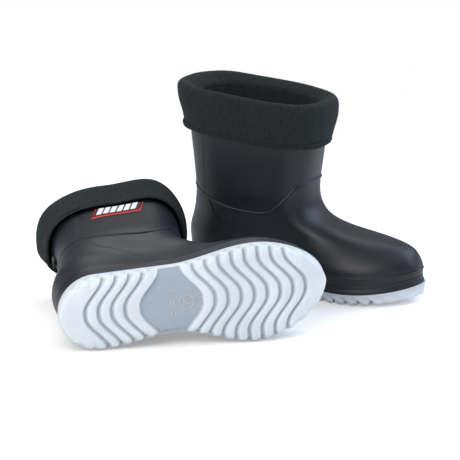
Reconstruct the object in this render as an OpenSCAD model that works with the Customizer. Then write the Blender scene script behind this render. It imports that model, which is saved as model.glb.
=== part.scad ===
// A pair of short pull-on rain boots with removable fleece liners.
// The left boot stands on its sole and the right boot lies on its inner side in front of it.
// Each boot is drawn once, as a right boot: x runs from heel to toe, +y is its inner side, z is up
// from the tread. The left boot is its mirror image.
// The origin is the middle of the standing boot's heel, on the floor.

/* [Outsole] */
// Length of the outsole, heel to toe
sole_l = 260; // [216:1:314]
// From the centre line to the outsole's inner edge at the heel
heel_in = 38; // [32:1:46]
// From the centre line to the outsole's outer edge at the heel
heel_out = 37; // [31:1:45]
// From the centre line to the outsole's inner edge at the waist
waist_in = 31; // [25:1:38]
// From the centre line to the outsole's outer edge at the waist
waist_out = 37; // [30:1:45]
// From the centre line to the outsole's inner edge at the ball of the foot
ball_in = 51; // [42:1:62]
// From the centre line to the outsole's outer edge at the ball of the foot
ball_out = 48; // [40:1:58]
// Height of the outsole at its edge
outsole_h = 12; // [10:0.5:15]
// How far the tip of the toe rises off the floor
toe_spring = 9; // [0:0.5:14]
// Clear height under the waist panel
waist_gap = 4; // [3:0.5:6]
// Width of a tread groove
groove_w = 2.4; // [1.8:0.1:3.2]
// Depth of a tread groove
groove_d = 3; // [2:0.5:5]
// Spacing of the tread grooves
groove_pitch = 12.7; // [10.4:0.1:15.3]
// How far a groove's ends trail its middle
groove_sweep = 20; // [12:1:28]

/* [Upper] */
// Height of the rubber shaft's rim above the floor
shaft_h = 196; // [162:1:236]
// How far the rim tilts down towards the front, in degrees
rim_tilt = 5.5; // [0:0.5:8]
// Length of the shaft at its rim, front to back, outside
shaft_l = 146; // [138:1:176]
// Width of the shaft at its rim, outside
shaft_w = 104; // [98:1:126]
// Height of the narrowest part of the ankle
ankle_h = 103; // [86:1:122]
// Length of the ankle, front to back, outside
ankle_l = 127.5; // [108:0.5:146]
// Width of the ankle, outside
ankle_w = 96; // [80:1:104]
// How far the back of the ankle is set in from the heel
ankle_set = 9.5; // [6:0.5:16]
// Height of the toe cap above the floor
toe_h = 57; // [47:1:69]
// Thickness of the rubber wall and floor
wall = 3; // [2:0.5:4]
// Height of the rubber band moulded round the foot, above the outsole
band_h = 18; // [14:1:22]

/* [Liner] */
// Thickness of the fleece
fleece_t = 5; // [3.5:0.5:6]
// Clearance between the liner and the rubber
liner_gap = 0.5; // [0.3:0.1:1]
// Height of the turned-down cuff
cuff_h = 47; // [34:1:60]
// Length of the cuff at its widest, outside
cuff_l = 168; // [164:1:200]
// Width of the cuff at its widest, outside
cuff_w = 120; // [118:1:144]
// How much narrower the cuff is at its lower edge, on each side
cuff_taper = 5; // [2:0.5:6]
// Height of the stitched hem along the cuff's lower edge
hem_h = 5; // [3:0.5:8]
// Thickness of the foam insole
insole_t = 4; // [3:0.5:6]

/* [Trim] */
// Length of the side badge
badge_l = 50; // [40:1:60]
// Height of the side badge
badge_h = 18; // [14:1:22]
// Number of raised bars on the badge
badge_bars = 6; // [3:1:8]
// Width of the pull tab at the back
tab_w = 12; // [8:1:18]
// Height of the pull tab
tab_h = 16; // [12:1:20]

/* [Placing] */
// Turn of the standing boot towards the viewer
left_turn = 25; // [15:1:35]
// Turn of the lying boot away from the viewer
right_turn = 11; // [0:1:25]
// Place of the lying boot's heel, to the right of the standing boot's heel
right_x = -120; // [-180:1:-80]
// Place of the lying boot's heel, in front of the standing boot's heel
right_y = 269; // [250:1:350]
// How far the lying boot's soft leg is flattened by its own weight
slump = 0.5; // [0:0.05:0.6]

/* [Hidden] */
NODE_PIECES = [
    "upper", "outsole", "pull_tab", "badge_edge", "badge_plate", "badge_bars", "insole",
    "liner_sole", "liner_foot", "liner_leg", "liner_cuff", "liner_hem"
];

// 1 while the lying boot is drawn
$give = 0;
// Points round one slice of the boot, and steps across half of a tread groove
SIDES = 40;
WAVE_STEPS = 12;
// Clearance between plain pieces that are glued or stitched together
FIT = 0.1;
// How far the rubber stands back from the outsole's edge
LIP = 2.5;
// Middle of the heel, and how roundly the heel and the toe close in plan
HEEL_MID = 37;
HEEL_ROUND = 38;
TOE_ROUND = 70;
// How square the shaft is in plan: 2 is an ellipse
SQUARE = 2.6;

waist_x = 0.42 * sole_l;
ball_x = 0.72 * sole_l;
band_top = outsole_h + band_h;
crook_x = ankle_set + ankle_l + 4;
rim_back = (shaft_h - ankle_h) * 0.1;
shaft_mid = ankle_set - rim_back + shaft_l / 2;
floor_z = outsole_h + wall;
liner_z = floor_z + insole_t + FIT;
sock_z = liner_z + fleece_t;
leg_in = wall + liner_gap + fleece_t;
cuff_z = shaft_h + 0.6;
cuff_low = cuff_z + 12 - cuff_h;

black = [0.09, 0.10, 0.12];
frost = [0.82, 0.87, 0.91];
fleece = [0.18, 0.20, 0.21];
felt = [0.27, 0.28, 0.29];
red = [0.80, 0.22, 0.16];
white = [0.92, 0.92, 0.92];

// ---- Curves ----

// A smooth step from 0 to 1 as x goes from a to b
function ramp(x, a, b) = let (t = max(0, min(1, (x - a) / (b - a)))) t * t * (3 - 2 * t);

// A quarter circle's height as t goes from 0 to 1
function arc(t) = let (c = max(0, min(1, t))) sqrt(1 - pow(1 - c, 2));

// Between a and b
function mix(a, b, t) = a + (b - a) * t;

// A smooth line through a list of [x, z] points, as a finer list
function smooth_line(p, steps = 6) = [
    for (i = [0 : len(p) - 2], k = [0 : steps - 1])
        let (
            t = k / steps,
            a = p[max(0, i - 1)], b = p[i], c = p[i + 1], d = p[min(len(p) - 1, i + 2)]
        )
        b + 0.5 * t * ((c - a) + t * ((2 * a - 5 * b + 4 * c - d) + t * (3 * (b - c) + d - a))),
    p[len(p) - 1]
];

// ---- The boot's shape ----

// Half width of the outsole at x, before its ends are rounded: side is 1 for the inner side
function sole_side(x, side) =
    let (
        heel = side > 0 ? heel_in : heel_out,
        waist = side > 0 ? waist_in : waist_out,
        ball = side > 0 ? ball_in : ball_out
    )
    x < waist_x
        ? mix(heel, waist, ramp(x, 1.2 * HEEL_MID, waist_x))
        : mix(waist, ball, ramp(x, waist_x, ball_x)) - 4 * ramp(x, ball_x, sole_l);

// Half width of a slice that stands back from the outsole's edge by inset
function foot_side(x, side, inset) =
    (sole_side(x, side) - inset)
    * arc((x - inset) / HEEL_ROUND) * arc((sole_l - inset - x) / TOE_ROUND);

// The line of the toe, instep and shin, and the line of the back, from the outsole up to the rim
front_line = smooth_line([
    [sole_l - LIP, outsole_h],
    [sole_l - LIP - 0.5, mix(outsole_h, band_top, 0.6)],
    [sole_l - LIP - 3, band_top + 8],
    [sole_l - LIP - 9, toe_h - 3],
    [sole_l - LIP - 26, toe_h + 3],
    [mix(crook_x, sole_l, 0.6), mix(toe_h, ankle_h, 0.15)],
    [mix(crook_x, sole_l, 0.32), mix(toe_h, ankle_h, 0.27)],
    [mix(crook_x, sole_l, 0.11), mix(toe_h, ankle_h, 0.45)],
    [mix(crook_x, sole_l, 0.015), mix(toe_h, ankle_h, 0.68)],
    [crook_x - 2, ankle_h + 2],
    [mix(crook_x, ankle_set - rim_back + shaft_l, 0.4), mix(ankle_h, shaft_h, 0.5)],
    [ankle_set - rim_back + shaft_l, shaft_h]
]);
back_line = smooth_line([
    [LIP, outsole_h],
    [LIP, band_top],
    [LIP + 2, mix(band_top, ankle_h, 0.3)],
    [ankle_set - 1.5, mix(band_top, ankle_h, 0.72)],
    [ankle_set, ankle_h],
    [mix(ankle_set, ankle_set - rim_back, 0.5), mix(ankle_h, shaft_h, 0.5)],
    [ankle_set - rim_back, shaft_h]
]);
// The same lines as x at a height, and the height of the instep at x
front_at = [for (p = front_line) [p[1], p[0]]];
back_at = [for (p = back_line) [p[1], p[0]]];
instep_at = concat(
    [[0, ankle_h + 300], [crook_x - 40, ankle_h + 120], [crook_x - 12, ankle_h + 32]],
    [for (i = [len(front_line) - 1 : -1 : 0]) if (front_line[i][1] <= ankle_h + 2) front_line[i]]
);

// Half width at x on a slice of the boot at height z, cut in by inset
function boot_side(x, z, side, inset) =
    let (
        back = lookup(z, back_at) + inset,
        front = lookup(z, front_at) - inset,
        over = max(0, z - band_top) / max(1, lookup(x + inset, instep_at) - band_top),
        foot = (sole_side(x, side) - inset - LIP) * sqrt(max(0, 1 - pow(min(1, over), 2)))
            * arc((x - back) / (HEEL_ROUND - inset)) * arc((sole_l - inset - LIP - x) / TOE_ROUND),
        leg_w = mix(ankle_w, shaft_w, ramp(z, ankle_h, shaft_h)) / 2 - inset,
        leg = leg_w * pow(max(0, 1 - pow(abs(2 * (x - back) / (front - back) - 1), SQUARE)), 1 / SQUARE)
    )
    mix(foot, leg, ramp(z, band_top + 14, ankle_h));

// How far the toe spring lifts a point
function spring(x, z) =
    toe_spring * pow(max(0, (x - ball_x) / (sole_l - ball_x)), 2)
    * (1 - ramp(z, outsole_h, toe_h + 6));

// How far the tilt of the rim moves a point up or down
function tilt(x, z) = (shaft_mid - x) * tan(rim_tilt) * ramp(z, ankle_h - 12, cuff_low);

// Where a point goes as the lying boot's soft leg settles: its length shrinks a little, its lower
// half flattens, and its upper half squares up towards the shin. $give is 1 for the lying boot.
function settled(p) =
    let (
        give = $give * slump * ramp(p[2], ankle_h - 33, cuff_low + 3),
        way = (p[0] - shaft_mid) / (cuff_l / 2),
        corner = pow(max(0, way), 2) * max(0, 1 - way * way)
    )
    [
        p[0] - 0.08 * cuff_l * way * give + 9 * give,
        p[1] * (p[1] > 0 ? 1 - give : 1 + give * (1.2 * corner - 0.14)) - 6 * way * give,
        p[2]
    ];

// One slice of the boot at height z, cut in by inset, as points that run once round
function slice(z, inset) =
    let (
        rise = z > band_top ? min(inset, shaft_h - z) : 0,
        zs = z + max(0, rise),
        back = lookup(zs, back_at) + inset,
        front = lookup(zs, front_at) - inset
    )
    [for (i = [0 : SIDES - 1])
        let (
            a = 360 * i / SIDES,
            x = mix(back, front, (1 - cos(a)) / 2),
            side = sin(a) >= 0 ? 1 : -1,
            ends = i == 0 || 2 * i == SIDES
        )
        settled([x, ends ? 0 : side * boot_side(x, zs, side, inset), z + spring(x, z) + tilt(x, z)])];

// An oval slice round the rim of the shaft
function oval(l, w, z) = [for (i = [0 : SIDES - 1])
    let (
        a = 360 * i / SIDES,
        c = -cos(a),
        s = sin(a),
        x = shaft_mid + l / 2 * sign(c) * pow(abs(c), 2 / SQUARE)
    )
    settled([x, w / 2 * sign(s) * pow(abs(s), 2 / SQUARE), z + tilt(x, z)])];

// Heights between a and b, in n steps
function levels(a, b, n) = [for (i = [0 : n]) mix(a, b, i / n)];

// ---- Solids from slices ----

// Triangles between neighbouring slices of n points
function skin_faces(rows, n, wrap) = [
    for (j = [0 : wrap ? rows - 1 : rows - 2], i = [0 : n - 1])
        let (a = j * n, b = ((j + 1) % rows) * n, k = (i + 1) % n)
        each [[a + i, a + k, b + k], [a + i, b + k, b + i]]
];

// Flat strips across a slice, between its two sides
function cap_faces(first, n) = [
    for (i = [0 : n / 2 - 1])
        let (a = first + i, b = first + i + 1, c = first + (n - i - 1) % n, d = first + (n - i) % n)
        i == 0 ? [a, c, b] : i == n / 2 - 1 ? [a, d, b] : [a, d, c, b]
];
function turned(faces) = [for (f = faces) [for (i = [len(f) - 1 : -1 : 0]) f[i]]];

// A closed body through slices that run up the outside and down the inside
module cup(slices) {
    n = len(slices[0]);
    m = len(slices);
    polyhedron(
        [for (s = slices) each s],
        concat(skin_faces(m, n, false), cap_faces(0, n), turned(cap_faces((m - 1) * n, n))),
        convexity = 8
    );
}

// A ring or tube through slices that run round its wall and meet again
module ring(slices) {
    polyhedron([for (s = slices) each s], skin_faces(len(slices), len(slices[0]), true), convexity = 8);
}

// A thin plate that follows the outer side of the shaft: rows of [x, z] points from below to above
module shaft_plate(rows, low, high) {
    n = len(rows[0]);
    m = len(rows);
    function on_shaft(p, out) =
        settled([p[0], -boot_side(p[0], p[1], -1, 0) - out, p[1] + tilt(p[0], p[1])]);
    points = concat(
        [for (row = rows, p = row) on_shaft(p, low)],
        [for (row = rows, p = row) on_shaft(p, high)]
    );
    top = n * m;
    edge = concat(
        [for (i = [0 : n - 2]) i],
        [for (j = [0 : m - 2]) j * n + n - 1],
        [for (i = [n - 1 : -1 : 1]) (m - 1) * n + i],
        [for (j = [m - 1 : -1 : 1]) j * n]
    );
    polyhedron(points, [
        for (j = [0 : m - 2], i = [0 : n - 2])
            let (a = j * n + i, b = a + 1, c = a + n + 1, d = a + n)
            each [[a, b, c], [a, c, d], [top + a, top + c, top + b], [top + a, top + d, top + c]],
        for (i = [0 : len(edge) - 1])
            let (a = edge[i], b = edge[(i + 1) % len(edge)])
            each [[a, top + b, b], [a, top + a, top + b]]
    ], convexity = 4);
}

// ---- The rubber boot ----

// The outsole's outline, standing back from its edge by inset
module sole_outline(inset) {
    polygon([for (i = [0 : 2 * SIDES - 1])
        let (
            a = 180 * i / SIDES,
            x = mix(inset, sole_l - inset, (1 - cos(a)) / 2),
            side = sin(a) >= 0 ? 1 : -1
        )
        [x, side * foot_side(x, side, inset)]]);
}

// A slab that follows the toe spring, from height low to height high
module sprung_slab(low, high) {
    xs = concat([-1, ball_x], levels(ball_x, sole_l + 1, 8));
    bend = [for (x = xs) [x, spring(x, 0)]];
    rotate([90, 0, 0])
    linear_extrude(2 * (ball_in + ball_out), center = true)
    polygon(concat(
        [for (p = bend) [p[0], p[1] + low]],
        [for (i = [len(bend) - 1 : -1 : 0]) [bend[i][0], bend[i][1] + high]]
    ));
}

// A line across the sole whose middle is at x and whose ends trail by groove_sweep
function wave(x, way) = [for (i = [-WAVE_STEPS : WAVE_STEPS])
    let (y = i / WAVE_STEPS * (ball_in + 4))
    [x - way * groove_sweep * (1 - cos(180 * y / ball_in)) / 2, y]];

// The room between two such lines
module wave_band(x0, way0, x1, way1, h) {
    b = wave(x1, way1);
    translate([0, 0, -1])
    linear_extrude(h + 1)
    polygon(concat(wave(x0, way0), [for (i = [len(b) - 1 : -1 : 0]) b[i]]));
}

heel_grooves = [for (i = [0 : 3]) 0.092 * sole_l + i * groove_pitch];
heel_end = 0.092 * sole_l + 4.3 * groove_pitch;
fore_start = sole_l - 0.07 * sole_l - 8.25 * groove_pitch;
fore_grooves = [for (i = [1 : 8]) fore_start + i * groove_pitch];

module outsole() {
    color(frost)
    difference() {
        union() {
            intersection() {
                linear_extrude(2 * toe_h) sole_outline(0);
                sprung_slab(outsole_h - 4, outsole_h - FIT);
            }
            intersection() {
                linear_extrude(2 * toe_h) sole_outline(LIP);
                sprung_slab(0, outsole_h - 3);
            }
        }
        wave_band(heel_end, -1, fore_start, 1, waist_gap);
        for (x = heel_grooves) wave_band(x, -1, x + groove_w, -1, groove_d);
        intersection() {
            for (x = fore_grooves) wave_band(x - groove_w, 1, x, 1, toe_h);
            sprung_slab(-1, groove_d);
        }
    }
}

upper_levels = concat(
    levels(outsole_h, band_top, 3), levels(band_top + 4, toe_h - 2, 4), levels(toe_h, ankle_h - 6, 10),
    levels(ankle_h, shaft_h, 6)
);

module upper() {
    inner = [for (i = [len(upper_levels) - 1 : -1 : 0]) if (upper_levels[i] > floor_z) upper_levels[i]];
    color(black)
    cup(concat(
        [for (z = upper_levels) slice(z, 0)],
        [for (z = inner) slice(z, wall)],
        [slice(floor_z, wall)]
    ));
}

// Rows of points for a plate l long and h high on the side of the shaft, leaning forward
function leaning_plate(x0, z0, l, h, n) = [for (j = [0 : 2])
    [for (i = [0 : n]) [x0 + l * i / n + badge_lean * j / 2, z0 + h * j / 2]]];
badge_lean = badge_h / 3;
badge_x = ankle_set + 0.26 * shaft_l;
badge_z = cuff_low - badge_h - 4;

module badge_edge() {
    color(red)
    shaft_plate(leaning_plate(badge_x - 1.5, badge_z - 1.5, badge_l + 3, badge_h + 3, 10), FIT, 0.9);
}

module badge_plate() {
    color(black)
    shaft_plate(leaning_plate(badge_x, badge_z, badge_l, badge_h, 10), 0.9 + FIT, 1.5);
}

module badge_bars() {
    pitch = (badge_l - 6) / badge_bars;
    color(white)
    for (i = [0 : badge_bars - 1])
        shaft_plate(
            leaning_plate(badge_x + 4 + i * pitch, badge_z + 3, 0.6 * pitch, badge_h - 6, 2), 1.5 + FIT, 2.2
        );
}

module pull_tab() {
    z = cuff_low - 1 - tab_h;
    place = settled([lookup(z + tab_h / 2, back_at), 0, z]);
    color(felt)
    translate([place[0] - 3.4, place[1] - tab_w / 2, z])
    cube([3, tab_w, tab_h]);
}

// ---- Insole and liner ----

// A flat sheet on the floor of the boot, from height low to height high
module flat_piece(low, high, inset) {
    cup([slice(low, inset), slice(high, inset)]);
}

module insole() {
    color(felt) flat_piece(floor_z + FIT, floor_z + insole_t, wall + 1);
}

module liner_sole() {
    color(felt) flat_piece(liner_z, liner_z + fleece_t - FIT, wall + liner_gap + 1);
}

sock_levels = concat([sock_z + 1], [for (z = upper_levels) if (z > sock_z + 3 && z < ankle_h - 5.9) z]);

module liner_foot() {
    zs = sock_levels;
    color(fleece)
    ring(concat(
        [for (z = zs) slice(z, wall + 2 * liner_gap)],
        [for (i = [len(zs) - 1 : -1 : 0]) slice(zs[i], leg_in)]
    ));
}

module liner_leg() {
    zs = levels(ankle_h - 5.5, shaft_h, 8);
    color(fleece)
    ring(concat(
        [for (z = zs) slice(z, wall + liner_gap)],
        [oval(shaft_l - 2 * (wall + liner_gap), shaft_w - 2 * (wall + liner_gap), cuff_z)],
        [oval(shaft_l - 2 * leg_in, shaft_w - 2 * leg_in, cuff_z)],
        [for (i = [len(zs) - 1 : -1 : 0]) slice(zs[i], leg_in)]
    ));
}

// Room between the cuff and the shaft, on each side
cuff_room = 1.25;
cuff_in_l = shaft_l + 2 * cuff_room;
cuff_in_w = shaft_w + 2 * cuff_room;
hem_top = cuff_low + hem_h;

// The cuff's outside at height z, as [length, width]
function cuff_size(z) = let (t = 2 * cuff_taper * (1 - ramp(z, cuff_low, cuff_z + 2)))
    [cuff_l - 1.6 * t, cuff_w - t];

module liner_cuff() {
    outer = [for (z = levels(hem_top + FIT, cuff_z + 2, 5)) concat(cuff_size(z), z)];
    fold = [
        [cuff_l - 3, cuff_w - 3, cuff_z + 7],
        [cuff_l - 11, cuff_w - 8, cuff_z + 11],
        [shaft_l + 2, shaft_w + 2, cuff_z + 12],
        [shaft_l - 10, shaft_w - 10, cuff_z + 10],
        [shaft_l - 2 * leg_in, shaft_w - 2 * leg_in, cuff_z + 5],
        [shaft_l - 2 * leg_in, shaft_w - 2 * leg_in, cuff_z]
    ];
    color(fleece)
    ring([for (p = concat(
        outer, fold, [[cuff_in_l, cuff_in_w, cuff_z], [cuff_in_l, cuff_in_w, hem_top + FIT]]
    )) oval(p[0], p[1], p[2])]);
}

module liner_hem() {
    low = cuff_size(cuff_low);
    top = cuff_size(hem_top);
    color(fleece)
    ring([
        oval(cuff_in_l, cuff_in_w, hem_top),
        oval(cuff_in_l, cuff_in_w, cuff_low + 1),
        oval(cuff_in_l + 2, cuff_in_w + 2, cuff_low),
        oval(low[0] - 2, low[1] - 2, cuff_low),
        oval(low[0], low[1], cuff_low + 1),
        oval(top[0], top[1], hem_top)
    ]);
}

// ---- The pair ----

// The lying boot rests on its heel and the ball of the foot, rolled as if its cuff, before it
// settled, lay on the floor too
lie_pitch = atan((ball_in - heel_in) / (ball_x - HEEL_MID));
lie_roll = atan(
    (cuff_w / 2 - ball_in + tan(lie_pitch) * (ball_x - shaft_mid)) / (cuff_z + 2 - outsole_h + 4)
);

// How high a point of the lying boot would be if its heel's middle were on the floor
function lie_rise(p) =
    p[2] * sin(lie_roll)
    + ((p[0] - HEEL_MID) * sin(lie_pitch) - p[1] * cos(lie_pitch)) * cos(lie_roll);

lie_height = -min([
    for (x = levels(HEEL_MID - 20, ball_x + 30, 60))
        lie_rise([x, foot_side(x, 1, 0), outsole_h - 4 + spring(x, 0)]),
    for (z = levels(cuff_low, cuff_z + 2, 10), p = oval(cuff_size(z)[0], cuff_size(z)[1], z))
        lie_rise(p)
]);

module one_piece(piece) {
    if (piece == "upper") upper();
    if (piece == "outsole") outsole();
    if (piece == "pull_tab") pull_tab();
    if (piece == "badge_edge") badge_edge();
    if (piece == "badge_plate") badge_plate();
    if (piece == "badge_bars") badge_bars();
    if (piece == "insole") insole();
    if (piece == "liner_sole") liner_sole();
    if (piece == "liner_foot") liner_foot();
    if (piece == "liner_leg") liner_leg();
    if (piece == "liner_cuff") liner_cuff();
    if (piece == "liner_hem") liner_hem();
}

module standing() {
    rotate([0, 0, -left_turn]) translate([-HEEL_MID, 0, 0]) mirror([0, 1, 0]) children();
}

module lying() {
    translate([right_x, -right_y, lie_height])
    rotate([lie_roll, 0, right_turn])
    rotate([0, -lie_pitch, 0])
    rotate([-90, 0, 0])
    translate([-HEEL_MID, 0, 0]) {
        $give = 1;
        children();
    }
}

for (piece = NODE_PIECES) {
    standing() one_piece(piece);
    lying() one_piece(piece);
}
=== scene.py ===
import bpy
import numpy as np
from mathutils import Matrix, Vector


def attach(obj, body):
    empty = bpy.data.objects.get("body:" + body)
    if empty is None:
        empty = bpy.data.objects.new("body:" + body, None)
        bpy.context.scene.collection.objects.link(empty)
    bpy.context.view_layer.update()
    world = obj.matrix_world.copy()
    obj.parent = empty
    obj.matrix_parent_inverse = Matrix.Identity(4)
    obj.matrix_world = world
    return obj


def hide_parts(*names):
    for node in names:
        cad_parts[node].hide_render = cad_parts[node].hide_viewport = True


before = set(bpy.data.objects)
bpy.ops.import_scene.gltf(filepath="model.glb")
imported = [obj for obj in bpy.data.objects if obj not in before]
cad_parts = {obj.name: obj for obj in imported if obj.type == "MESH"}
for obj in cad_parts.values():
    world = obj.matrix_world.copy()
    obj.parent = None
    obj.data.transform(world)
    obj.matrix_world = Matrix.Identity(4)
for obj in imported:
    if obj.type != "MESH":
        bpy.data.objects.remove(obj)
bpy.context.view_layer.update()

# ---------------------------------------------------------------- Camera
# A long lens, a little above the boots and looking down at them by about 14 degrees.
# It aims at a point over the floor between the two boots.
LOOK_DOWN = np.radians(14.3)
AIM = Vector((0.004, 0.0, 0.052))
back_off = Vector((0, -np.cos(LOOK_DOWN), np.sin(LOOK_DOWN))) * 2.25
lens = bpy.data.cameras.new("camera")
lens.lens = 165.9
lens.clip_end = 20
camera = bpy.data.objects.new("camera", lens)
camera.location = AIM + back_off
camera.rotation_euler = (-back_off).to_track_quat("-Z", "Y").to_euler()
bpy.context.scene.collection.objects.link(camera)
bpy.context.scene.camera = camera

# ---------------------------------------------------------------- Rubber upper
# The foot, ankle and shaft of a boot are one hollow PVC moulding, 3 mm thick, slushed in a
# polished mould that leaves a satin skin. The mould also leaves a band with a lip and beads
# round the foot, a heel counter, a back stay, and a raised line over the ankle.
SOLE_L, HEEL_MID, OUTSOLE_H, BAND_TOP, TOE_H = 260.0, 37.0, 12.0, 30.0, 57.0
ANKLE_H, SHAFT_H, SHAFT_L, SHAFT_W, ANKLE_W = 103.0, 196.0, 146.0, 104.0, 96.0
WALL, LIP, TOE_SPRING = 3.0, 2.5, 9.0
SHAFT_BACK, HEEL_ROUND, TOE_ROUND = 0.2, 38, 70
CROOK_X = 141.0
SHAFT_MID = SHAFT_BACK + SHAFT_L / 2
CUFF_Z, CUFF_LOW = 196.6, 161.6
RIM_SLOPE = np.tan(np.radians(5.5))


def ramp(v, a, b):
    """A smooth step: 0 below a, 1 above b, and 3 t squared less 2 t cubed between."""
    t = np.clip((v - a) / (b - a), 0, 1)
    return t * t * (3 - 2 * t)


def arc(t):
    """The height of a quarter circle as t goes from 0 to 1."""
    return np.sqrt(1 - (1 - np.clip(t, 0, 1)) ** 2)


def mix(a, b, t):
    """Between a and b."""
    return a + (b - a) * t


def smooth_line(points, steps=12):
    """A curve through points: on each span, the cubic whose slope at an end is half the step
    between that end's two neighbours."""
    p = np.asarray(points, float)
    q = np.vstack([p[:1], p, p[-1:]])
    t = (np.arange(steps) / steps)[None, :, None]
    a, b, c, d = (q[i:len(q) - 3 + i, None, :] for i in range(4))
    span = b + 0.5 * t * ((c - a) + t * ((2 * a - 5 * b + 4 * c - d) + t * (3 * (b - c) + d - a)))
    return np.vstack([span.reshape(-1, p.shape[1]), p[-1:]])


def sole_side(x, side):
    """Half the outsole's width at x: smooth steps from heel to waist to ball, less 4 mm at the toe."""
    heel, waist, ball = (np.where(side > 0, i, o) for i, o in ((38, 37), (31, 37), (51, 48)))
    waist_x, ball_x = 0.42 * SOLE_L, 0.72 * SOLE_L
    rear = mix(heel, waist, ramp(x, 1.2 * HEEL_MID, waist_x))
    front = mix(waist, ball, ramp(x, waist_x, ball_x)) - 4 * ramp(x, ball_x, SOLE_L)
    return np.where(x < waist_x, rear, front)


def foot_side(x, side, inset):
    """The same width less inset, times a quarter circle at the heel and one at the toe."""
    heel_arc, toe_arc = arc((x - inset) / HEEL_ROUND), arc((SOLE_L - inset - x) / TOE_ROUND)
    return (sole_side(x, side) - inset) * heel_arc * toe_arc


front_line = smooth_line([
    (SOLE_L - LIP, OUTSOLE_H), (SOLE_L - LIP - 0.5, mix(OUTSOLE_H, BAND_TOP, 0.6)),
    (SOLE_L - LIP - 3, BAND_TOP + 8), (SOLE_L - LIP - 9, TOE_H - 3), (SOLE_L - LIP - 26, TOE_H + 3),
    (mix(CROOK_X, SOLE_L, 0.6), mix(TOE_H, ANKLE_H, 0.15)),
    (mix(CROOK_X, SOLE_L, 0.32), mix(TOE_H, ANKLE_H, 0.27)),
    (mix(CROOK_X, SOLE_L, 0.11), mix(TOE_H, ANKLE_H, 0.45)),
    (mix(CROOK_X, SOLE_L, 0.015), mix(TOE_H, ANKLE_H, 0.68)),
    (CROOK_X - 2, ANKLE_H + 2),
    (mix(CROOK_X, SHAFT_BACK + SHAFT_L, 0.4), mix(ANKLE_H, SHAFT_H, 0.5)),
    (SHAFT_BACK + SHAFT_L, SHAFT_H),
])
back_line = smooth_line([
    (LIP, OUTSOLE_H), (LIP, BAND_TOP), (LIP + 2, mix(BAND_TOP, ANKLE_H, 0.3)),
    (8, mix(BAND_TOP, ANKLE_H, 0.72)), (9.5, ANKLE_H), (4.85, mix(ANKLE_H, SHAFT_H, 0.5)),
    (SHAFT_BACK, SHAFT_H),
])
low_front = front_line[front_line[:, 1] <= ANKLE_H + 2][::-1]
above_instep = [(0, ANKLE_H + 300), (CROOK_X - 40, ANKLE_H + 120), (CROOK_X - 12, ANKLE_H + 32)]
instep_line = np.vstack([above_instep, low_front])


def boot_side(x, z, side, inset):
    """Half the boot's width: below, the sole's width under a dome that closes at the instep line;
    above, a squared oval of power 2.6; and a smooth step from one to the other."""
    back = np.interp(z, back_line[:, 1], back_line[:, 0]) + inset
    front = np.interp(z, front_line[:, 1], front_line[:, 0]) - inset
    instep = np.interp(x + inset, instep_line[:, 0], instep_line[:, 1])
    over = np.maximum(0, z - BAND_TOP) / np.maximum(1, instep - BAND_TOP)
    foot = (sole_side(x, side) - inset - LIP) * np.sqrt(np.maximum(0, 1 - np.minimum(1, over) ** 2))
    foot = foot * arc((x - back) / (HEEL_ROUND - inset)) * arc((SOLE_L - inset - LIP - x) / TOE_ROUND)
    leg_w = mix(ANKLE_W, SHAFT_W, ramp(z, ANKLE_H, SHAFT_H)) / 2 - inset
    along = np.abs(2 * (x - back) / (front - back) - 1)
    leg = leg_w * np.maximum(0, 1 - along ** 2.6) ** (1 / 2.6)
    return mix(foot, leg, ramp(z, BAND_TOP + 14, ANKLE_H))


def spring(x, z):
    """How far the toe is lifted: 9 mm times the square of the way from ball to tip, fading upwards."""
    way = np.maximum(0, (x - 0.72 * SOLE_L) / (0.28 * SOLE_L))
    return TOE_SPRING * way ** 2 * (1 - ramp(z, OUTSOLE_H, TOE_H + 6))


def tilt(x, z):
    """How far the rim's slope moves a point, fading in above the ankle."""
    return (SHAFT_MID - x) * RIM_SLOPE * ramp(z, ANKLE_H - 12, CUFF_LOW)


def skin(a, z, inset=0.0):
    """A point of the boot's skin: a runs round it from the heel over the inner side, and z is its
    level. x goes from the back line to the front line as (1 - cos a) / 2, and y is the half width."""
    zs = z + np.where(z > BAND_TOP, np.clip(SHAFT_H - z, 0, inset), 0)
    back = np.interp(zs, back_line[:, 1], back_line[:, 0]) + inset
    front = np.interp(zs, front_line[:, 1], front_line[:, 0]) - inset
    x = mix(back, front, (1 - np.cos(a)) / 2)
    side = np.where(np.sin(a) >= 0, 1.0, -1.0)
    ends = np.abs(np.sin(a)) > 1e-9
    y = side * boot_side(x, zs, side, inset) * ends
    return np.stack([x, y, z + spring(x, z) + tilt(x, z)], -1)


def outward(points, wrap=True):
    """The unit normal at each point of a grid of rows that run round: the cross product of its
    steps along the row and up the rows."""
    if wrap:
        along = np.roll(points, -1, 1) - np.roll(points, 1, 1)
    else:
        along = np.gradient(points, axis=1)
    up = np.gradient(points, axis=0)
    n = np.cross(up, along)
    return n / np.maximum(np.linalg.norm(n, axis=2, keepdims=True), 1e-9)


def grid_faces(rows, columns, first=0, wrap=True):
    """Quads between neighbouring rows of a grid, closed round the columns if wrap."""
    r, c = np.meshgrid(np.arange(rows - 1), np.arange(columns if wrap else columns - 1), indexing="ij")
    k = (c + 1) % columns
    a, b = r * columns, (r + 1) * columns
    return np.stack([a + c, b + c, b + k, a + k], -1).reshape(-1, 4) + first


def cap_faces(columns, first, top):
    """Strips that close a row of an even number of points, from one side straight to the other."""
    i = np.arange(columns // 2)
    f = np.stack([i, i + 1, (columns - i - 1) % columns, (columns - i) % columns], -1) + first
    return f if top else f[:, ::-1]


SLUMP, HALF_CUFF, SLUMP_SHIFT, SLUMP_DROP = 0.5, 84, 9, 6
LIE = {"pitch": 4.946695, "roll": 5.6531, "turn": 11.0, "rise": 38.0139}


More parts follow.
